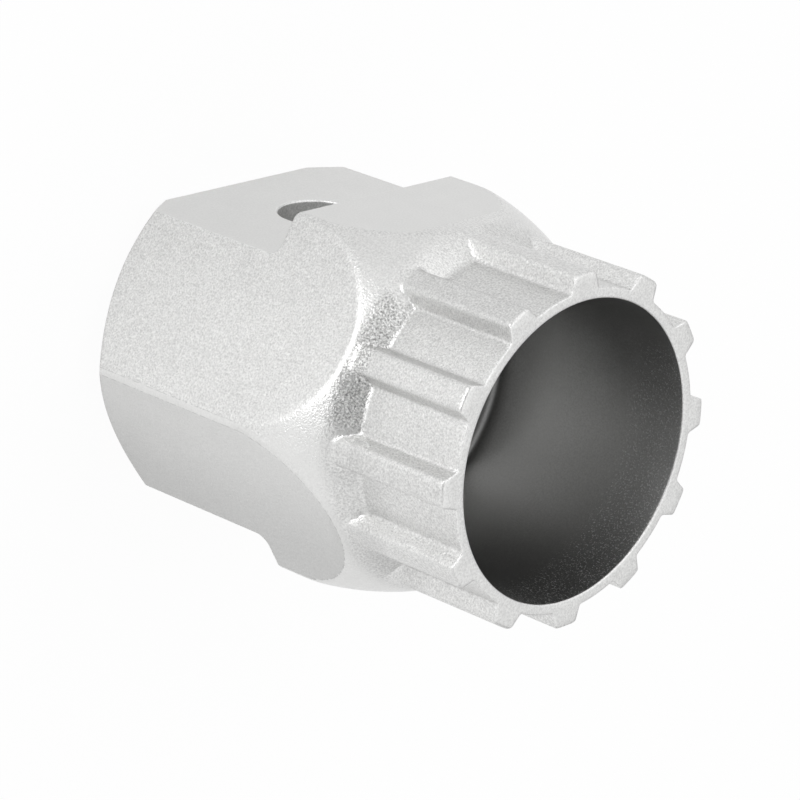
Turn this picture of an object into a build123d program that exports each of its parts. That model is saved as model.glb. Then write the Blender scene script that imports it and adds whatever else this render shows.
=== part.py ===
from build123d import *
import os
from math import asin, cos, radians, sin, sqrt, tan

# A cassette lockring tool, one piece of steel, in millimetres.
# It stands on its back end with the splined nose up: +Z runs along the tool's axis, and the origin is the
# centre of the back end face. The hexagon has corners on -Y and +Y, and its milled flats face -X and +X.

# Lengths along the axis
overall_length = 31.3
milled_length = 12.8
spline_length = 8.25
nose_bore_depth = 16.0
cross_hole_height = 7.7

# Hexagon for the spanner, with two flats milled lower at the back
hex_across_flats = 24.0
hex_corner_radius = 0.85
milled_step = 2.6
cutter_corner_radius = 0.8
step_edge_radius = 0.2

# Back end, with the drive hole and the cross hole for its ball
end_face_inset = 0.7
end_chamfer_angle = 45.0
end_edge_radius = 0.2
drive_square = 12.7
drive_corner_radius = 0.6
drive_lead_in = 0.6
cross_hole_diameter = 5.3
cross_hole_edge = 0.1

# Turned shoulder between the hexagon and the nose: a short cone behind the splines, then a round crown
shoulder_cone_length = 1.2
shoulder_cone_angle = 45.0
shoulder_foot_radius = 0.4
crown_radius = 16.0
crown_clearance = 0.1
crown_edge_radius = 0.8

# Splined nose
nose_wall = 0.7
nose_bore_lip = 0.08
nose_bore_floor_radius = 0.5
spline_count = 12
spline_clocking = 0.8
spline_inset = 0.3
spline_depth = 1.15
spline_tip_width = 1.7
spline_root_width = 2.4
spline_tip_radius = 0.35
spline_root_radius = 0.25
nose_chamfer = 0.2

# Worked out from the sizes above
hex_apothem = hex_across_flats / 2
milled_depth = hex_apothem - milled_step
end_face_radius = hex_apothem - end_face_inset
corner_reach = (hex_apothem - hex_corner_radius) / cos(radians(30)) + hex_corner_radius
margin = 2.0
tolerance = 0.001
beyond = corner_reach + margin
tip_radius = hex_apothem - spline_inset
root_radius = tip_radius - spline_depth
bore_radius = root_radius - nose_wall
bore_floor = overall_length - nose_bore_depth
shoulder_foot = overall_length - spline_length
cone_back = shoulder_foot - shoulder_cone_length
cone_back_radius = root_radius + shoulder_cone_length * tan(radians(shoulder_cone_angle))
crest_radius = corner_reach + crown_clearance
crown_centre_radius = crest_radius - crown_radius
crown_length = sqrt(crown_radius**2 - (cone_back_radius - crown_centre_radius) ** 2)
crest_height = cone_back - crown_length


def turned(face):
    """A face drawn as radius against height, turned about the tool's axis."""
    return revolve(Plane.YZ * face, Axis.Z)


def turned_envelope():
    """What the lathe leaves: a chamfered back end, a round crown, a cone, and the nose's core."""
    chamfer_height = (beyond - end_face_radius) / tan(radians(end_chamfer_angle))
    half_turn = asin(crown_length / crown_radius) / 2
    crown_middle = (
        crown_centre_radius + crown_radius * cos(half_turn),
        crest_height + crown_radius * sin(half_turn),
    )
    straight = Polyline(
        (cone_back_radius, cone_back),
        (root_radius, shoulder_foot),
        (root_radius, shoulder_foot + shoulder_foot_radius),
        (0, shoulder_foot + shoulder_foot_radius),
        (0, 0),
        (end_face_radius, 0),
        (beyond, chamfer_height),
        (beyond, crest_height),
        (crest_radius, crest_height),
    )
    crown = ThreePointArc((crest_radius, crest_height), crown_middle, (cone_back_radius, cone_back))
    outline = make_face([straight, crown])
    foot = outline.vertices().sort_by_distance((root_radius, shoulder_foot))[0]
    return turned(fillet(foot, shoulder_foot_radius))


def hexagon_body():
    """The hexagon with its corners rounded and its ends turned, and the edges of the turning softened."""
    section = RegularPolygon(hex_apothem, 6, major_radius=False, rotation=30)
    section = fillet(section.vertices(), hex_corner_radius)
    body = extrude(section, overall_length) & turned_envelope()
    front_edges = [e for e in body.edges() if e.geom_type == GeomType.BSPLINE and e.center().Z > crest_height]
    front_edges = [e for e in front_edges if e.length > hex_corner_radius * 3]
    body = fillet(front_edges, crown_edge_radius)
    back_edges = [e for e in body.edges() if e.geom_type == GeomType.HYPERBOLA]
    return fillet(back_edges, end_edge_radius)


def milled_flats():
    """The space that the cutter clears beside both milled flats, with its corner radius at the step."""
    width = beyond - milled_depth
    height = milled_length + margin
    space = Pos(milled_depth, -margin) * Rectangle(width, height, align=(Align.MIN, Align.MIN))
    corner = space.vertices().sort_by_distance((milled_depth, milled_length))[0]
    space = fillet(corner, cutter_corner_radius)
    one = extrude(Plane.XZ * space, beyond, both=True)
    return one + mirror(one, Plane.YZ)


def spline_section():
    """The nose across its axis: a root circle and splines with slanted flanks, rounded at tip and root."""
    root_half = spline_root_width / 2
    tip_half = spline_tip_width / 2
    root_reach = sqrt(root_radius**2 - root_half**2)
    tip_reach = sqrt(tip_radius**2 - tip_half**2)
    run_out = (tip_reach - root_reach) / 2
    end_half = tip_half - (root_half - tip_half) / 2
    spline = Polygon(
        (0, -root_half),
        (root_reach, -root_half),
        (tip_reach + run_out, -end_half),
        (tip_reach + run_out, end_half),
        (root_reach, root_half),
        (0, root_half),
        align=None,
    )
    section = (Circle(root_radius) + PolarLocations(0, spline_count, spline_clocking) * spline) & Circle(tip_radius)
    middle = (root_radius + tip_radius) / 2
    tips = [v for v in section.vertices() if v.center().length > middle]
    section = fillet(tips, spline_tip_radius)
    roots = [v for v in section.vertices() if v.center().length < root_radius + spline_root_radius / 10]
    return fillet(roots, spline_root_radius)


def splined_nose():
    """The splines run from inside the shoulder to the front, where they are turned to a chamfer."""
    length = overall_length - crest_height
    splines = Pos(0, 0, crest_height) * extrude(spline_section(), length)
    outline = Polygon(
        (0, crest_height),
        (tip_radius + margin, crest_height),
        (tip_radius + margin, overall_length - nose_chamfer - margin),
        (tip_radius - nose_chamfer, overall_length),
        (0, overall_length),
        align=None,
    )
    return splines & turned(outline)


def nose_bore():
    outline = Polygon(
        (0, bore_floor),
        (bore_radius, bore_floor),
        (bore_radius, overall_length - nose_bore_lip),
        (bore_radius + nose_bore_lip + margin, overall_length + margin),
        (0, overall_length + margin),
        align=None,
    )
    corner = outline.vertices().sort_by_distance((bore_radius, bore_floor))[0]
    return turned(fillet(corner, nose_bore_floor_radius))


def drive_hole():
    """A square hole through to the nose bore, with a lead-in at the back end face."""
    mouth = drive_square + 2 * drive_lead_in
    hole = extrude(RectangleRounded(drive_square, drive_square, drive_corner_radius), bore_floor + margin / 2)
    lead_in = extrude(RectangleRounded(mouth, mouth, drive_corner_radius + drive_lead_in), drive_lead_in, taper=45)
    return hole + lead_in


def step_edges(tool):
    """The outer straight edge of each step, where a milled flat ends against the full hexagon."""
    high = [e for e in tool.edges() if abs(e.center().Z - milled_length) < tolerance]
    return [e for e in high if abs(e.center().X) > hex_apothem - tolerance]


def cross_hole_edges(tool):
    """The two circles where the cross hole opens on the milled flats."""
    circles = [e for e in tool.edges() if e.geom_type == GeomType.CIRCLE]
    outer = [e for e in circles if abs(abs(e.center().X) - milled_depth) < tolerance]
    return [e for e in outer if abs(e.radius - cross_hole_diameter / 2) < tolerance]


def lockring_tool():
    """The turned and splined body with its bore, drive hole, milled flats and cross hole."""
    tool = hexagon_body() + splined_nose()
    tool -= nose_bore()
    tool -= drive_hole()
    tool -= milled_flats()
    tool -= Pos(0, 0, cross_hole_height) * Rot(0, 90, 0) * Cylinder(cross_hole_diameter / 2, 2 * beyond)
    tool = chamfer(cross_hole_edges(tool), cross_hole_edge)
    return fillet(step_edges(tool), step_edge_radius)


os.makedirs("parts", exist_ok=True)
export_step(lockring_tool(), "parts/lockring_tool.step")
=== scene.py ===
import bpy
import numpy as np
from mathutils import Matrix


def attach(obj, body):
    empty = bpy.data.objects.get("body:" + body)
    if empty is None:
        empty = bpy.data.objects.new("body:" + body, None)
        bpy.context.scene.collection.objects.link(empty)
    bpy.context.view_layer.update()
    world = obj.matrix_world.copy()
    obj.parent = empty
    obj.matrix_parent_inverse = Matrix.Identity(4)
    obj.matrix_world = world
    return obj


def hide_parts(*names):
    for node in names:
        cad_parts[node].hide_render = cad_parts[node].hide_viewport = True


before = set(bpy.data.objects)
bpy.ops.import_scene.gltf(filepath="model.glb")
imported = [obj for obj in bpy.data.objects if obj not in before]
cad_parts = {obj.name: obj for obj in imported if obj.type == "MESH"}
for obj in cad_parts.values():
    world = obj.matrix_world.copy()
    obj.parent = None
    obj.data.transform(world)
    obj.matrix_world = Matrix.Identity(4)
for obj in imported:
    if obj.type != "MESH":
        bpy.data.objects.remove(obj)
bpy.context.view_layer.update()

# all sizes of the tool are in millimetres
body = {
    "length": 31.3,
    "flatHeight": 12.0,  # from the axis to a flat of the hexagon
    "cornerRound": 0.85,
    "endRadius": 11.3,  # the back end face, before its 45 degree chamfer
    "chamferSoft": 0.07,
    "crownRadius": 16.0,
    "crownReach": 13.825,  # the crown's largest radius
    "coneBack": 21.85,  # height where the crown meets the cone
    "coneBackRadius": 11.75,
    "coneFoot": 23.05,
    "crownSoft": 0.11,  # how soft the arcs on the flats are
    "coneSoft": 0.3,
    "footSoft": 0.2,
}
nose = {
    "teeth": 12,
    "turned": 0.8,  # degrees that the teeth are turned from the flats
    "tipRadius": 11.7,
    "rootRadius": 10.55,
    "tipWidth": 1.7,
    "rootWidth": 2.4,
    "tipRound": 0.35,
    "rootRound": 0.25,
    "frontRound": 0.2,  # at the front end of a tooth
    "landRound": 0.05,  # at the front end of a land
}
inside = {
    "boreRadius": 9.85,
    "lip": 0.08,
    "floor": 15.3,
    "floorRound": 0.5,
    "square": 6.35,  # half of the drive's square
    "squareRound": 0.6,
    "leadIn": 0.6,
}
milling = {
    "depth": 9.4,
    "height": 12.8,
    "cutterRound": 0.8,
    "edgeRound": 0.2,
    "holeHeight": 7.7,
    "holeRadius": 2.65,
    "holeEdge": 0.1,
    "reach": 16,  # how far the cutter goes past the tool's middle
    "holeReach": 12,
}
grid = {
    "half": 16,  # columns from a tooth's middle to the middle of the land beside it
    "hexBundle": 5,  # columns on half of a corner's round, on the hexagon and on the square
    "squareBundle": 4,
    "turnFrom": 17.0,  # heights where the columns turn from the hexagon's to the teeth's
    "turnTo": 21.5,
}
half = grid["half"]


def softMin(a, b, width):
    # the smaller of a and b, rounded where they are within width of each other by a parabola
    h = np.clip(0.5 + 0.5 * (b - a) / width, 0, 1)
    return b + (a - b) * h - width * h * (1 - h)


def softMax(a, b, width):
    # the larger of a and b, rounded in the same way
    return -softMin(-a, -b, width)


def bend(start, corner, end, steps):
    # a corner rounded by a parabola: (1-t)(1-t) start + 2t(1-t) corner + t t end, without the start itself
    t = np.linspace(0, 1, steps + 1)[1:, None]
    return (1 - t) ** 2 * start + 2 * t * (1 - t) * corner + t**2 * end


def toothColumns():
    # angle and radius of every column on the splined section: tip arc, tip round, flank, root round, land
    n = nose
    tipHalf, rootHalf = n["tipWidth"] / 2, n["rootWidth"] / 2
    tip = np.array([np.sqrt(n["tipRadius"] ** 2 - tipHalf**2), tipHalf])
    root = np.array([np.sqrt(n["rootRadius"] ** 2 - rootHalf**2), rootHalf])
    along = (tip - root) / np.linalg.norm(tip - root)
    tipCut, rootCut = n["tipRound"] * 0.75, n["rootRound"] * 0.76  # what a round takes of each side
    tipStart = np.array([np.sqrt(n["tipRadius"] ** 2 - (tipHalf - tipCut) ** 2), tipHalf - tipCut])
    flankTop, flankFoot = tip - along * tipCut, root + along * rootCut
    landAngle = np.arctan2(root[1], root[0]) + rootCut / n["rootRadius"]
    landStart = n["rootRadius"] * np.array([np.cos(landAngle), np.sin(landAngle)])
    across = np.linspace(0, tipStart[1], 4)
    tipArc = np.stack([np.sqrt(n["tipRadius"] ** 2 - across**2), across], 1)
    tipBend = bend(tipStart, tip, flankTop, 3)
    flank = flankTop + (flankFoot - flankTop) * np.array([[0.5], [1.0]])
    rootBend = bend(flankFoot, root, landStart, 3)
    landAngles = np.linspace(landAngle, np.pi / n["teeth"], 6)[1:, None]
    land = n["rootRadius"] * np.hstack([np.cos(landAngles), np.sin(landAngles)])
    points = np.vstack([tipArc, tipBend, flank, rootBend, land])
    angle, radius = np.arctan2(points[:, 1], points[:, 0]), np.hypot(points[:, 0], points[:, 1])
    offset = np.concatenate([-angle[:0:-1], angle[:-1]])
    reach = np.concatenate([radius[:0:-1], radius[:-1]])
    middle = np.arange(n["teeth"]) * 2 * np.pi / n["teeth"] + np.radians(n["turned"])
    return (middle[:, None] + offset).ravel(), np.tile(reach, n["teeth"])


def hexagonColumns():
    # angle of every column on the hexagon: even steps along a flat, and a close bundle round each corner
    b = body
    step = np.arange(-half, half)
    sectorEdge = b["flatHeight"] * np.tan(np.pi / 12)
    onFlat = np.arctan2(sectorEdge * step / half, b["flatHeight"])
    centre = (b["flatHeight"] - b["cornerRound"]) / np.cos(np.pi / 6)
    arcEnd = (b["flatHeight"] - b["cornerRound"]) * np.tan(np.pi / 6)
    bundle = grid["hexBundle"]
    turn = np.pi / 6 * np.clip(step / bundle, -1, 1)
    arc = np.arctan2(b["cornerRound"] * np.sin(turn), centre + b["cornerRound"] * np.cos(turn))
    beyondArc = np.clip((np.abs(step) - bundle) / (half - bundle), 0, 1)
    side = arcEnd + (sectorEdge - arcEnd) * beyondArc
    offCorner = np.sign(step) * (np.pi / 6 - np.arctan2(side, b["flatHeight"]))
    onCorner = np.where(np.abs(step) <= bundle, arc, offCorner)
    middle = np.arange(12) * np.pi / 6
    even = (np.arange(12) % 2 == 0)[:, None]
    return (middle[:, None] + np.where(even, onFlat, onCorner)).ravel()


def hexagonRadius(angle):
    # distance from the axis to the hexagon: flat height over the cosine, or the corner's round near a corner
    b = body
    off = np.abs((angle + np.pi / 6) % (np.pi / 3) - np.pi / 6)
    centre = (b["flatHeight"] - b["cornerRound"]) / np.cos(np.pi / 6)
    fromCorner = np.pi / 6 - off
    inRoot = np.maximum(b["cornerRound"] ** 2 - (centre * np.sin(fromCorner)) ** 2, 0)
    onRound = centre * np.cos(fromCorner) + np.sqrt(inRoot)
    arcEnd = (b["flatHeight"] - b["cornerRound"]) * np.tan(np.pi / 6)
    return np.where(b["flatHeight"] * np.tan(off) > arcEnd, onRound, b["flatHeight"] / np.cos(off))


def squareColumns(halfSide, corner):
    # x and y of every column on the drive's square: straight sides, and a close bundle round each corner
    perSide, bundle = 3 * half, grid["squareBundle"]
    step = np.arange(-perSide, perSide)
    straight = halfSide - corner
    onSide = straight * np.clip(step / (perSide - bundle), -1, 1)
    turn = np.pi / 4 * np.clip((np.abs(step) - (perSide - bundle)) / bundle, 0, 1)
    x = straight + corner * np.cos(turn)
    y = onSide + np.sign(step) * corner * np.sin(turn)
    ring = [(x, y), (-y, x), (-x, -y), (y, -x)]
    xy = np.hstack([np.array(r) for r in ring])
    return np.roll(xy, -(perSide - half), axis=1)


def crownPlace():
    # the radius at the centre of the crown's circle, and the crest's height, a chord's length behind the cone
    b = body
    centre = b["crownReach"] - b["crownRadius"]
    return centre, b["coneBack"] - np.sqrt(b["crownRadius"] ** 2 - (b["coneBackRadius"] - centre) ** 2)


def skinRadius(angle, toothReach, z):
    # the outside: the smallest of hexagon, back chamfer, crown and cone, then the larger of it and the teeth
    b, n = body, nose
    chamfer = b["endRadius"] + z
    centre, crest = crownPlace()
    crown = centre + np.sqrt(np.maximum(b["crownRadius"] ** 2 - np.maximum(z - crest, 0) ** 2, 0))
    cone = n["rootRadius"] + b["coneFoot"] - z
    turned = softMin(crown, cone, b["coneSoft"])
    outer = softMin(hexagonRadius(angle), turned, b["crownSoft"])
    outer = softMin(outer, chamfer, b["chamferSoft"])
    return softMax(outer, np.where(z > crest, toothReach, 0), b["footSoft"])


def toolRings():
    # every ring of the tool as x, y, z: up the outside, over the front, down the bore, out through the square
    b, n, i = body, nose, inside
    quarter = np.pi / 2
    toothAngle, toothReach = toothColumns()
    hexAngle = hexagonColumns()
    # heights of the rings, close together where the outside curves
    z = np.concatenate([
        np.arange(0, 2.7, 0.06),
        [2.9, 4.0, 7.0, 10.0, 13.0, 14.4],
        np.arange(15.0, 21.7, 0.09),
        np.arange(21.7, 23.5, 0.06),
        [23.6, 24.4, 26.0, 28.0, 29.8, 30.9],
    ])[:, None]
    t = np.clip((z - grid["turnFrom"]) / (grid["turnTo"] - grid["turnFrom"]), 0, 1)
    angle = hexAngle + (toothAngle - hexAngle) * t * t * (3 - 2 * t)
    radius = skinRadius(angle, toothReach[None], z)
    skin = [radius * np.cos(angle), radius * np.sin(angle), z + 0 * angle]

    ca, sa = np.cos(toothAngle), np.sin(toothAngle)
    frontRound = np.clip(toothReach - (n["tipRadius"] - n["frontRound"]), n["landRound"], n["frontRound"])
    edge = [(toothReach - frontRound * (1 - np.cos(q)), b["length"] - frontRound * (1 - np.sin(q)))
            for q in np.linspace(0, quarter, 5)]
    rim, mouth = toothReach - frontRound, i["boreRadius"] + i["lip"]
    face = [(rim * (1 - f) + mouth * f, b["length"]) for f in (0.3, 0.6, 0.85, 1.0)]
    lip = [(mouth - i["lip"] * np.sin(q), b["length"] - i["lip"] * (1 - np.cos(q)))
           for q in np.linspace(0, quarter, 5)[1:]]
    wallTop = b["length"] - 0.7
    wall = [(i["boreRadius"], h) for h in np.linspace(wallTop, i["floor"] + i["floorRound"], 14)]
    foot = [(i["boreRadius"] - i["floorRound"] * (1 - np.cos(q)),
             i["floor"] + i["floorRound"] * (1 - np.sin(q)))
            for q in np.linspace(0, quarter, 6)[1:]]
    rounds = [(r * ca, r * sa, h + 0 * ca) for r, h in edge + face + lip + wall + foot]

    sx, sy = squareColumns(i["square"], i["squareRound"])
    fx, fy = foot[-1][0] * ca, foot[-1][0] * sa
    floor = [(fx + (sx - fx) * f, fy + (sy - fy) * f, i["floor"] + 0 * sx)
             for f in (0.2, 0.4, 0.6, 0.8, 0.97)]
    floor += [(sx, sy, i["floor"] - 0.05 + 0 * sx)]
    drive = [(sx, sy, h + 0 * sx) for h in (14.0, 11.0, 7.0, 3.0, i["leadIn"])]
    wx, wy = squareColumns(i["square"] + i["leadIn"], i["squareRound"] + i["leadIn"])
    drive += [((sx + wx) / 2, (sy + wy) / 2, i["leadIn"] / 2 + 0 * sx), (wx, wy, 0 * sx)]
    ex, ey = skin[0][0], skin[1][0]
    back = [(wx + (ex - wx) * f, wy + (ey - wy) * f, 0 * ex) for f in (0.2, 0.4, 0.6, 0.8, 0.95)]
    rest = np.array(rounds + floor + drive + back).transpose(1, 0, 2)
    return np.concatenate([np.array(skin), rest], axis=1)


def inScene(name, data):
    # an object that holds the data, linked to the scene
    thing = bpy.data.objects.new(name, data)
    bpy.context.scene.collection.objects.link(thing)
    return thing


def closedLoft(name, rings):
    # a grid of quads over rings and columns, both closed on themselves, from three arrays of rows by columns
    rows, columns = rings.shape[1:]
    points = rings.reshape(3, -1).T / 1000
    r, c = np.meshgrid(np.arange(rows), np.arange(columns), indexing="ij")
    nextRow, nextColumn = (r + 1) % rows, (c + 1) % columns
    row, after = r * columns, nextRow * columns
    quads = np.stack([row + c, row + nextColumn, after + nextColumn, after + c], -1)
    return meshFrom(name, points, quads.reshape(-1, 4))


def meshFrom(name, points, faces):
    # points and faces of equal size into a mesh by foreach_set
    mesh = bpy.data.meshes.new(name)
    count, size = faces.shape
    mesh.vertices.add(len(points))
    mesh.vertices.foreach_set("co", np.ascontiguousarray(points, dtype=np.float32).ravel())
    mesh.loops.add(count * size)
    mesh.loops.foreach_set("vertex_index", faces.astype(np.int32).ravel())
    mesh.polygons.add(count)
    mesh.polygons.foreach_set("loop_start", np.arange(0, count * size, size, dtype=np.int32))
    mesh.polygons.foreach_set("loop_total", np.full(count, size, dtype=np.int32))
    mesh.update(calc_edges=True)
    mesh.validate()
    return inScene(name, mesh)


def prism(name, outline, low, high):
    # a closed outline of x and z carried straight along y, with a flat face at each end
    x, z = np.array(outline).T
    count = len(x)
    points = np.concatenate([np.stack([x, y + 0 * x, z], 1) for y in (low, high)]) / 1000
    side = np.arange(count)
    after = (side + 1) % count
    sides = np.stack([side, after, after + count, side + count], -1)
    caps = [side[::-1].tolist(), (side + count).tolist()]
    mesh = bpy.data.meshes.new(name)
    mesh.from_pydata(points.tolist(), [], sides.tolist() + caps)
    return inScene(name, mesh)


def spindle(name, places, radii, height, segments=96):
    # circles of the given radii at places along x, joined in order, with a flat face at each end
    turn = np.arange(segments) * 2 * np.pi / segments
    x, r = np.array(places)[:, None], np.array(radii)[:, None]
    points = np.stack([x + 0 * turn, r * np.cos(turn), height + r * np.sin(turn)], -1).reshape(-1, 3) / 1000
    ring = np.arange(segments)
    after = (ring + 1) % segments
    starts = np.arange(len(places) - 1) * segments
    one = np.stack([ring, after, segments + after, segments + ring], -1)
    sides = np.vstack([k + one for k in starts])
    caps = [ring.tolist(), (ring[::-1] + starts[-1] + segments).tolist()]
    mesh = bpy.data.meshes.new(name)
    mesh.from_pydata(points.tolist(), [], sides[:, ::-1].tolist() + caps)
    return inScene(name, mesh)


def volumeOf(mesh):
    # a sixth of the sum of triple products over the mesh's triangles, below zero where faces point inwards
    mesh.calc_loop_triangles()
    corners = np.empty(len(mesh.loop_triangles) * 3, dtype=np.int32)
    mesh.loop_triangles.foreach_get("vertices", corners)
    points = np.empty(len(mesh.vertices) * 3)
    mesh.vertices.foreach_get("co", points)
    a, b, c = points.reshape(-1, 3)[corners.reshape(-1, 3)].transpose(1, 0, 2)
    return float(np.einsum("ij,ij->", a, np.cross(b, c))) / 6


def facingOut(thing):
    # a closed mesh whose volume comes out below zero is turned round
    if volumeOf(thing.data) < 0:
        thing.data.flip_normals()
    return thing


def cut(thing, cutter):
    # the cutter's space is taken out of the thing, and the cutter goes
    boolean = thing.modifiers.new("cut", "BOOLEAN")
    boolean.operation, boolean.solver, boolean.object = "DIFFERENCE", "EXACT", cutter
    shaped = bpy.data.meshes.new_from_object(thing.evaluated_get(bpy.context.evaluated_depsgraph_get()))
    thing.modifiers.clear()
    thing.data = shaped
    bpy.data.objects.remove(cutter)


def millingOutline(side):
    # x and z round the milled space: up the flat, round the cutter's corner, along the step, over its edge
    m = milling
    corner = [(m["depth"] + m["cutterRound"] * (1 - np.cos(q)),
               m["height"] - m["cutterRound"] * (1 - np.sin(q)))
              for q in np.linspace(0, np.pi / 2, 9)]
    edgeStart = body["flatHeight"] - m["edgeRound"]
    edge = [(edgeStart + m["edgeRound"] * np.sin(q), m["height"] + m["edgeRound"] * (1 - np.cos(q)))
            for q in np.radians(np.linspace(0, 82, 6))]
    # the round stops short of the flat's plane, and the outline leaves it steeply to just outside the tool
    outside, over, below = body["flatHeight"] + 0.03, m["height"] + 0.35, -1
    last = [(outside, over), (m["reach"], over), (m["reach"], below), (m["depth"], below)]
    return [(side * x, z) for x, z in corner + edge + last]


def crossHoleSpace():
    # a cylinder along x that widens by 45 degrees from just inside each milled flat
    m = milling
    past = 0.2
    wide = m["holeRadius"] + m["holeEdge"] + past
    out = [m["depth"] - m["holeEdge"], m["depth"] + past, m["holeReach"]]
    radii = [m["holeRadius"], wide, wide]
    return spindle("crossHoleSpace", [-x for x in out[::-1]] + out, radii[::-1] + radii, m["holeHeight"])


def report(stage, thing):
    # a stage's name, with the number of faces and the volume so far
    volume = round(volumeOf(thing.data) * 1e9, 1)
    print(stage, len(thing.data.polygons), "faces, volume", volume, "cubic mm")


tool = facingOut(closedLoft("lockringToolBody", toolRings()))
report("lofted", tool)
for side in (-1, 1):
    cut(tool, facingOut(prism("millingSpace", millingOutline(side), -milling["reach"], milling["reach"])))
cut(tool, facingOut(crossHoleSpace()))
report("milled and drilled", tool)


def shadeSmooth(thing, sharpFrom):
    # smooth faces, with edges sharper than the angle kept sharp, and normals weighted by the faces' areas
    mesh = thing.data
    mesh.shade_smooth()
    mesh.set_sharp_from_angle(angle=np.radians(sharpFrom))
    weigh = thing.modifiers.new("weigh", "WEIGHTED_NORMAL")
    weigh.keep_sharp, weigh.weight = True, 100


ends = {  # where a finish ends: millimetres, and cosines between a face's normal and an axis
    "near": 0.02,
    "lip": 0.2,  # how far behind the front the bore's finish begins
    "square": 0.97,  # from here a face counts as square to the axis
    "floor": 0.9,  # from here a face in the drive belongs to its floor
    "flat": 0.6,  # from here a face in the cross hole belongs to a milled flat
    "milledTop": 20.0,
}


def giveFinishes(thing, finishes):
    # a face's finish goes by its place: 0 outside, 1 milled, 2 bore, 3 cross hole, 4 front ring, 5 drive
    mesh = thing.data
    count = len(mesh.polygons)
    centre, normal = np.empty(count * 3), np.empty(count * 3)
    mesh.polygons.foreach_get("center", centre)
    mesh.polygons.foreach_get("normal", normal)
    (x, y, z), (nx, ny, nz) = centre.reshape(-1, 3).T * 1000, normal.reshape(-1, 3).T
    near, offHole = ends["near"], np.hypot(y, z - milling["holeHeight"])
    which = np.zeros(count, dtype=np.int32)
    which[(np.abs(nx) > ends["square"]) & (z < ends["milledTop"])] = 1
    which[(nz > ends["square"]) & (z > body["length"] - near)] = 4
    inBore = (np.hypot(x, y) < inside["boreRadius"] + near) & (z > inside["floor"] - near)
    which[inBore & (z < body["length"] - ends["lip"])] = 2
    inSquare = np.maximum(np.abs(x), np.abs(y)) < inside["square"] + inside["leadIn"]
    inDrive = inSquare & (np.abs(nz) < ends["floor"]) & (z < inside["floor"])
    inHole = (offHole < milling["holeRadius"] + near) & (np.abs(nx) < ends["flat"])
    which[inHole] = 3
    which[inDrive & ~inHole] = 5
    mesh.materials.clear()
    for finish in finishes:
        mesh.materials.append(finish)
    mesh.polygons.foreach_set("material_index", which)
    mesh.update()


class Value:
    # a socket's value: each operator on it adds one Math node
    def __init__(self, shade, socket):
        self.shade, self.socket = shade, socket

    def math(self, operation, first, second):
        # one Math node
        return self.shade.add("Math", {"operation": operation}, {0: first, 1: second})

    def __add__(self, other):
        return self.math("ADD", self, other)

    def __radd__(self, other):
        return self.math("ADD", other, self)

    def __sub__(self, other):
        return self.math("SUBTRACT", self, other)

    def __rsub__(self, other):
        return self.math("SUBTRACT", other, self)

    def __mul__(self, other):
        return self.math("MULTIPLY", self, other)

    def __rmul__(self, other):
        return self.math("MULTIPLY", other, self)

    def __truediv__(self, other):
        return self.math("DIVIDE", self, other)

    def __rtruediv__(self, other):
        return self.math("DIVIDE", other, self)

    def __pow__(self, other):
        return self.math("POWER", self, other)

    def __rpow__(self, other):
        return self.math("POWER", other, self)

    def __abs__(self):
        return self.math("ABSOLUTE", self, 0)

    def larger(self, other):
        # the larger of the two
        return self.math("MAXIMUM", self, other)


class Shade:
    # a node tree: add() makes one node of any kind
    def __init__(self, tree):
        self.tree = tree

    def add(self, kind, settings=None, values=None, output=0):
        # a node by its kind, its settings, and the values or links of its sockets
        node = self.tree.nodes.new("ShaderNode" + kind)
        for key, setting in (settings or {}).items():
            setattr(node, key, setting)
        for key, value in (values or {}).items():
            self.put(node.inputs[key], value)
        return Value(self, node.outputs[output])

    def put(self, socket, value):
        # a link or a plain value into a socket
        if isinstance(value, Value):
            self.tree.links.new(value.socket, socket)
        else:
            socket.default_value = value

    def ramp(self, value, low, high):
        # 0 below low, 1 above high, and a smooth step between
        values = {"Value": value, "From Min": low, "From Max": high}
        return self.add("MapRange", {"interpolation_type": "SMOOTHSTEP"}, values)

    def hill(self, value, low, full, fall, high):
        # 1 from full to fall, 0 below low and above high
        return self.ramp(value, low, full) - self.ramp(value, fall, high)

    def dot(self, first, second):
        # the sum of the products of two vectors' parts
        return self.add("VectorMath", {"operation": "DOT_PRODUCT"}, {0: first, 1: second}, output=1)

    def split(self, vector):
        # the three parts of a vector
        first = self.add("SeparateXYZ", None, {0: vector})
        return [Value(self, output) for output in first.socket.node.outputs]

    def noise(self, place, scale, detail, rough=0.5):
        # cloudy noise of so many spots per millimetre
        values = {"Vector": place, "Scale": scale, "Detail": detail, "Roughness": rough}
        return self.add("TexNoise", None, values)


zones = {  # where a finish changes: heights and lengths in millimetres, directions in degrees round the axis
    "cone": (21.1, 21.8, 22.9, 23.3),  # begins, is full, begins to end, has ended
    "crown": (16.5, 18.5, 20.8, 22.0),
    "coarseToward": -119,  # the side where the cone is coarse and has painted shade
    "coarseShare": (0.91, 0.95),
    "offFlat": (0.05, 0.3),  # how far inside the hexagon's flats the crown loses grain
    "lowRise": (20.5, 22.0),
    "lowEnd": (24.0, 26.0),
    "lowToward": -45,
    "smoothToward": -60,  # the flat that is smooth, and the way across it
    "acrossToward": 30,
    "across": (-6.0, 5.0),
    "bandReach": (11.74, 11.79),  # where the smooth band before that flat begins, and then the flat
    "smoothReach": (11.98, 11.996),
    "bandEnd": (14.4, 15.6),
    "calmShare": (0.75, 0.9),
    "plainShare": (0.82, 0.9),  # beside that flat the crown's edge gets no painted highlight
    "footEnd": 16.8,
    "wornAndLitEdge": (0.01, 0.12),  # how far the softened normal leaves the true one
    "speckSpan": 0.1,  # from a speck's edge to its full light
    "speckSide": (0.0, 0.9),
    "edgeGlintSpeck": (0.5, 0.58),
    "lineSpeck": (0.42, 0.55),
}


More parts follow.
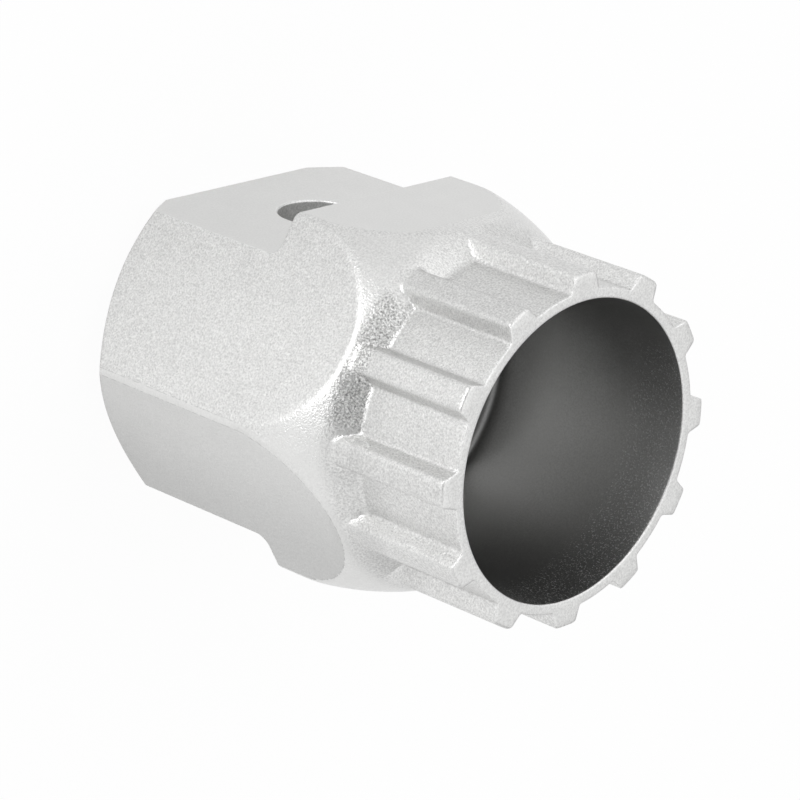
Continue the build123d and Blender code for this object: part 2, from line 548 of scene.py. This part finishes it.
class Spot:
    # the place on the tool that is shaded, in millimetres, and its ways out from the axis
    def __init__(self, shade):
        self.shade = shade
        metres = shade.add("TexCoord", output=3)
        self.place = shade.add("VectorMath", {"operation": "SCALE"}, {0: metres, "Scale": 1000})
        x, y, self.z = shade.split(self.place)
        flat = shade.add("CombineXYZ", None, {0: x, 1: y})
        self.radius = shade.add("VectorMath", {"operation": "LENGTH"}, {0: flat}, output=1)
        # the hexagon's reach is the flat height on its flats and less inside them
        ways = [abs(self.along(degrees)) for degrees in (0, 60, 120)]
        self.reach = ways[0].larger(ways[1]).larger(ways[2])

    def along(self, degrees):
        # how far the place lies out from the axis in one direction
        turn = np.radians(degrees)
        return self.shade.dot(self.place, (np.cos(turn), np.sin(turn), 0))

    def share(self, degrees):
        # 1 on the side that faces this way, 0 from a quarter turn away
        return (self.along(degrees) / self.radius).larger(0.0)

    def crownEdge(self, width):
        # 1 where the crown's circle and a flat are both near, 0 from the width away
        centre, crest = crownPlace()
        crown = centre + (body["crownRadius"] ** 2 - (self.z - crest) ** 2) ** 0.5
        arc = 1 - self.shade.ramp(body["flatHeight"] - self.reach + abs(crown - self.radius), 0.0, width)
        return arc * self.shade.ramp(self.z, crest, crest + 1)


def metal(name, look):
    # steel: its colour's level is a sum of grain, blotches, painted glint specks and edges that are partly
    # worn and partly a painted highlight, with painted shade and light in some zones, times each zone's share
    material = bpy.data.materials.new(name)
    material.use_nodes = True
    shade = Shade(material.node_tree)
    surface = material.node_tree.nodes["Principled BSDF"]
    surface.inputs["Metallic"].default_value = 1
    spot = Spot(shade)
    place, z, share = spot.place, spot.z, spot.share
    grain = shade.noise(place, look["grainPerMm"], 2, 0.6) - 0.5
    blotch = shade.noise(place, look["blotchPerMm"], 4) - 0.5
    speck = shade.noise(place, look["speckPerMm"], 2)
    # painted glints: bright specks painted into the colour, on one side and between two heights
    paintedGlint = shade.ramp(speck, look["speckFrom"], look["speckFrom"] + zones["speckSpan"])
    paintedGlint = paintedGlint * shade.ramp(z, look["speckBelow"], look["speckAbove"])
    paintedGlint = paintedGlint * shade.ramp(share(look["speckToward"]), *zones["speckSide"])
    # edges and creases, where the softened normal leaves the true one, are partly wear and partly a painted
    # highlight
    softNormal = shade.add("Bevel", {"samples": 6}, {"Radius": look["edgeWidth"] / 1000})
    wornAndLitEdge = shade.ramp(1 - shade.dot(softNormal, shade.add("NewGeometry", output=1)), *zones["wornAndLitEdge"])

    # on one side the cone behind the teeth is coarser, with painted shade that darkens it, and the crown has
    # less grain than the rest
    cone = shade.hill(z, *zones["cone"]) * shade.ramp(share(zones["coarseToward"]), *zones["coarseShare"])
    crown = shade.hill(z, *zones["crown"])
    grainLost = look["grainLight"] * (1 - look["crownGrain"])
    offFlat = shade.ramp(body["flatHeight"] - spot.reach, *zones["offFlat"])
    coarse = look["grainLight"] - crown * offFlat * grainLost
    # one flat is smooth, with painted shade that deepens towards its far corner, and a smooth band before it
    # with a painted highlight
    band = shade.ramp(spot.along(zones["smoothToward"]), *zones["bandReach"])
    smooth = shade.ramp(spot.along(zones["smoothToward"]), *zones["smoothReach"])
    calm = band.larger(crown * shade.ramp(share(zones["smoothToward"]), *zones["calmShare"]))
    coarse = coarse * (1 - calm * look["smoothCalm"])
    behind = 1 - shade.ramp(z, *zones["bandEnd"])
    lines = smooth * (1 - smooth) + band * (1 - band) * behind
    fall = shade.ramp(spot.along(zones["acrossToward"]), *zones["across"])

    light = grain * (coarse + cone * look["coneGrain"]) + blotch * look["blotchLight"]
    level = look["level"] + light - cone * look["paintedConeShade"]
    level = level - shade.ramp(z, *zones["cone"][2:]) * look["noseDark"]
    # painted shade on the low side, between two heights
    low = shade.ramp(z, *zones["lowRise"]) * (1 - shade.ramp(z, *zones["lowEnd"]))
    level = level * (1 - low * share(zones["lowToward"]) * look["paintedLowShade"])
    # painted light by side: a bright streak along one side of the bore, a little painted shade on one side
    # outside
    level = level * (look["paintedDarkSide"] + share(look["sideToward"]) ** look["sideSharp"] * look["paintedSideLight"])
    # painted shade on the smooth flat, deeper towards its far corner
    level = level * (1 - smooth * (fall * look["paintedFlatShadeFall"] + look["paintedFlatShade"]))
    level = level - lines * shade.ramp(speck, *zones["lineSpeck"]) * look["smoothEdge"]
    # a painted highlight on the band before that flat
    level = level + (band - smooth) * behind * look["paintedBandHighlight"]
    # painted shade in the bore, deepest at its floor
    foot = shade.ramp(z, inside["floor"], zones["footEnd"])
    level = level * (1 - look["paintedFootShade"] + foot * look["paintedFootShade"])
    # the edges' painted highlight, partly wear, with bright painted glint specks along them
    edgeWearAndHighlight = shade.ramp(speck, *zones["edgeGlintSpeck"]) * look["edgeSpeck"] + look["edgeLight"]
    level = level + paintedGlint * look["paintedGlintLight"] + wornAndLitEdge * edgeWearAndHighlight
    rough = look["rough"] + blotch * look["blotchRough"]
    rough = rough - paintedGlint * look["speckRough"] - wornAndLitEdge * look["edgeRough"]
    if look["paintedArcHighlight"]:
        # a painted highlight on the edge between a flat and the crown
        plain = shade.ramp(share(zones["smoothToward"]), *zones["plainShare"])
        arc = spot.crownEdge(look["arcEdge"]) * (1 - plain)
        level = level + arc * look["paintedArcHighlight"]
        rough = rough - arc * look["arcRough"]
    colour = shade.add("CombineColor", None, {part: level * tint for part, tint in enumerate(look["tint"])})
    relief = {"Strength": 1, "Distance": look["bump"] / 1000, "Height": grain, "Normal": softNormal}
    shade.put(surface.inputs["Base Color"], colour)
    shade.put(surface.inputs["Roughness"], rough)
    shade.put(surface.inputs["Normal"], shade.add("Bump", None, relief))
    return material


# the outside
blasted = {
    "level": 0.775,
    "tint": (1.0, 1.0, 0.99),
    "rough": 0.34,
    "grainPerMm": 8.0,
    "grainLight": 0.8,
    "bump": 0.04,
    "coneGrain": 1.25,
    "paintedConeShade": 0.1,
    "noseDark": 0.035,
    "speckPerMm": 4.5,
    "speckFrom": 0.62,
    "speckBelow": -2.0,  # painted glint specks are nowhere below this height and everywhere above the next
    "speckAbove": -1.0,
    "paintedGlintLight": 0.03,
    "speckRough": 0.03,
    "speckToward": 0.0,  # painted glint specks thin out away from this side, in degrees about the axis
    "blotchPerMm": 0.6,
    "blotchLight": 0.05,
    "blotchRough": 0.08,
    "sideToward": -150.0,  # the side where light is painted into the level, in degrees about the axis
    "paintedSideLight": -0.1,
    "sideSharp": 10.0,
    "paintedDarkSide": 1.0,  # the level's share away from that side, below 1 for painted shade there
    "paintedArcHighlight": 0.18,
    "arcRough": 0.12,
    "arcEdge": 0.06,
    "crownGrain": 0.55,  # share of the grain that the crown keeps
    "smoothCalm": 0.7,
    "paintedFlatShadeFall": 0.19,
    "paintedFlatShade": 0.04,
    "smoothEdge": 0.9,
    "paintedBandHighlight": 0.04,
    "paintedFootShade": 0.0,
    "paintedLowShade": 0.09,
    "edgeWidth": 0.14,
    "edgeLight": 0.12,
    "edgeSpeck": 0.35,
    "edgeRough": 0.05,
}
# the milled flats
milled = {
    **blasted,
    "paintedFlatShade": 0.0,
    "paintedFlatShadeFall": 0.0,
    "smoothEdge": 0.0,
    "paintedBandHighlight": 0.0,
    "level": 0.745,
    "rough": 0.42,
    "grainLight": 0.16,
    "bump": 0.004,
    "coneGrain": 0.0,
    "noseDark": 0.0,
    "paintedLowShade": 0.0,
    "paintedSideLight": 0.0,
    "paintedArcHighlight": 0.0,
}
# the front ring
faced = {**milled, "grainLight": 0.5, "bump": 0.02}
# the nose bore
bored = {
    **blasted,
    "level": 0.76,
    "rough": 0.42,
    "grainLight": 0.35,
    "bump": 0.004,
    "coneGrain": 0.0,
    "paintedConeShade": 0.0,
    "noseDark": 0.0,
    "paintedLowShade": 0.0,
    "speckPerMm": 9.0,
    "speckFrom": 0.58,
    "speckBelow": 26.0,
    "speckAbove": 31.3,
    "paintedGlintLight": 3.0,
    "speckToward": 40.0,
    # a painted bright streak along one side of the bore, painted shade on the rest of it and at its floor
    "sideToward": 78.0,
    "paintedSideLight": 0.62,
    "sideSharp": 2.5,
    "paintedDarkSide": 0.33,
    "paintedFootShade": 0.6,
    "paintedArcHighlight": 0.0,
    "edgeLight": 0.0,
    "edgeSpeck": 0.0,
}
# the cross hole
drilled = {
    **blasted,
    "level": 0.6,
    "rough": 0.65,
    "grainLight": 0.5,
    "bump": 0.02,
    "coneGrain": 0.0,
    "paintedArcHighlight": 0.0,
}
# the drive
broached = {**drilled, "level": 0.75, "grainLight": 0.1}

giveFinishes(tool, [
    metal("blastedSteel", blasted),
    metal("milledSteel", milled),
    metal("boredSteel", bored),
    metal("drilledSteel", drilled),
    metal("facedSteel", faced),
    metal("broachedSteel", broached),
])
shadeSmooth(tool, 38)  # degrees
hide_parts("lockring_tool")
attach(tool, "root")
print("finished the metal")

studio = {
    "floorHalf": 2.0,  # metres
    "floorHeight": -0.00005,  # just below the end face, so that the two aren't in one plane
    "floorColour": 0.88,
    "floorSeen": 0.94,  # share of the floor that camera rays see as plain white, the rest takes the shadow
    "floorMirrored": 0.5,  # the same share for rays that metal mirrors
    "sky": 0.53,
    "skyTop": 0.49,  # more light from straight above
    "topCosines": (0.45, 0.9),
    "opening": (-0.10, -0.80, 0.59),  # direction of the dark opening in the sky
    "openingCosines": (0.5, 0.95),
    "patches": [  # pale patches of sky: direction, strength, and the cosines where each begins and is full
        ((-0.612, 0.354, 0.707), 0.39, 0.60, 0.97),
        ((-0.612, -0.354, 0.707), 0.23, 0.60, 0.97),
        ((0.612, -0.354, 0.707), 0.19, 0.60, 0.97),
        ((0, 0.707, 0.707), 0.19, 0.60, 0.97),
        ((0.495, -0.858, 0.139), 0.46, 0.75, 0.98),
        ((0.858, -0.495, 0.139), 0.20, 0.75, 0.98),
        ((-0.990, 0, 0.139), 0.36, 0.75, 0.98),
    ],
    "lamps": [  # direction from the tool, distance and size in metres, watts
        ((-0.614, -0.786, 0.070), 0.25, 0.06, 0.125),
        ((-0.258, -0.964, 0.070), 0.25, 0.06, 0.06),
        ((0.086, -0.986, 0.139), 0.25, 0.16, 0.033),
    ],
    "lookAt": (0, 0, 0.0157),
}
eye = {
    "right": (-0.052216, 0.709757, 0.702509),
    "up": (-0.940186, 0.202197, -0.274166),
    "back": (-0.336636, -0.674806, 0.656745),
    "place": (-0.0938371, -0.1902009, 0.2010456),
    "lens": 198.318,  # millimetres, as is the sensor's width
    "sensor": 36,
    "near": 0.01,  # metres between which things are drawn
    "far": 20,
}


def standing(x, y, z, place):
    # the matrix whose columns are three axes and a place
    columns = [x, y, z, place]
    return Matrix([[column[row] for column in columns] for row in range(3)] + [[0, 0, 0, 1]])


def placeCamera():
    # the camera looks against its third axis
    camera = bpy.data.cameras.new("camera")
    camera.lens, camera.sensor_width = eye["lens"], eye["sensor"]
    camera.clip_start, camera.clip_end = eye["near"], eye["far"]
    thing = inScene("camera", camera)
    thing.matrix_world = standing(eye["right"], eye["up"], eye["back"], eye["place"])
    bpy.context.scene.camera = thing


def layFloor():
    # a pale floor that camera and glossy rays see nearly white, while it still takes the tool's shadow
    wide, height = studio["floorHalf"], studio["floorHeight"]
    mesh = bpy.data.meshes.new("floor")
    corners = [(-wide, -wide, height), (wide, -wide, height), (wide, wide, height), (-wide, wide, height)]
    mesh.from_pydata(corners, [], [(0, 1, 2, 3)])
    floor = inScene("floor", mesh)
    material = bpy.data.materials.new("paleFloor")
    material.use_nodes = True
    shade = Shade(material.node_tree)
    surface = material.node_tree.nodes["Principled BSDF"]
    surface.inputs["Base Color"].default_value = (studio["floorColour"],) * 3 + (1,)
    surface.inputs["Roughness"].default_value = 1
    surface.inputs["Specular IOR Level"].default_value = 0
    mirrored = shade.add("LightPath", output=3) + shade.add("LightPath", output=6)
    share = shade.add("LightPath", output=0) * studio["floorSeen"] + mirrored * studio["floorMirrored"]
    glow = shade.add("Emission", None, {"Color": (1, 1, 1, 1), "Strength": 1.0})
    mixed = shade.add("MixShader", None, {0: share, 1: Value(shade, surface.outputs[0]), 2: glow})
    shade.put(material.node_tree.nodes["Material Output"].inputs["Surface"], mixed)
    mesh.materials.append(material)


def lightRoom():
    # a pale sky with a dark opening and brighter patches, and low soft lamps that look at the tool
    world = bpy.data.worlds.new("room")
    world.use_nodes = True
    bpy.context.scene.world = world
    shade = Shade(world.node_tree)
    sight = shade.add("TexCoord", output=0)

    def patch(toward, low, high):
        # 0 where the cosine of the sight with toward is below low, 1 above high
        return shade.ramp(shade.dot(sight, toward), low, high)

    strength = studio["sky"] - patch(studio["opening"], *studio["openingCosines"]) * studio["sky"]
    strength = strength + patch((0, 0, 1), *studio["topCosines"]) * studio["skyTop"]
    for toward, level, low, high in studio["patches"]:
        strength = strength + patch(toward, low, high) * level
    background = world.node_tree.nodes["Background"]
    background.inputs["Color"].default_value = (1, 1, 1, 1)
    shade.put(background.inputs["Strength"], strength)
    aim = np.array(studio["lookAt"])
    for number, (direction, distance, size, watts) in enumerate(studio["lamps"]):
        light = bpy.data.lights.new(f"softLamp{number}", "AREA")
        light.shape, light.size, light.energy = "SQUARE", size, watts
        lamp = inScene(f"softLamp{number}", light)
        away = np.array(direction) / np.linalg.norm(direction)
        side = np.cross([0, 0, 1], away)
        side = side / np.linalg.norm(side)
        lamp.matrix_world = standing(side, np.cross(away, side), away, aim + away * distance)


placeCamera()
layFloor()
lightRoom()
bpy.context.scene.view_settings.view_transform = "Standard"
print("set up the camera, floor and lamps")
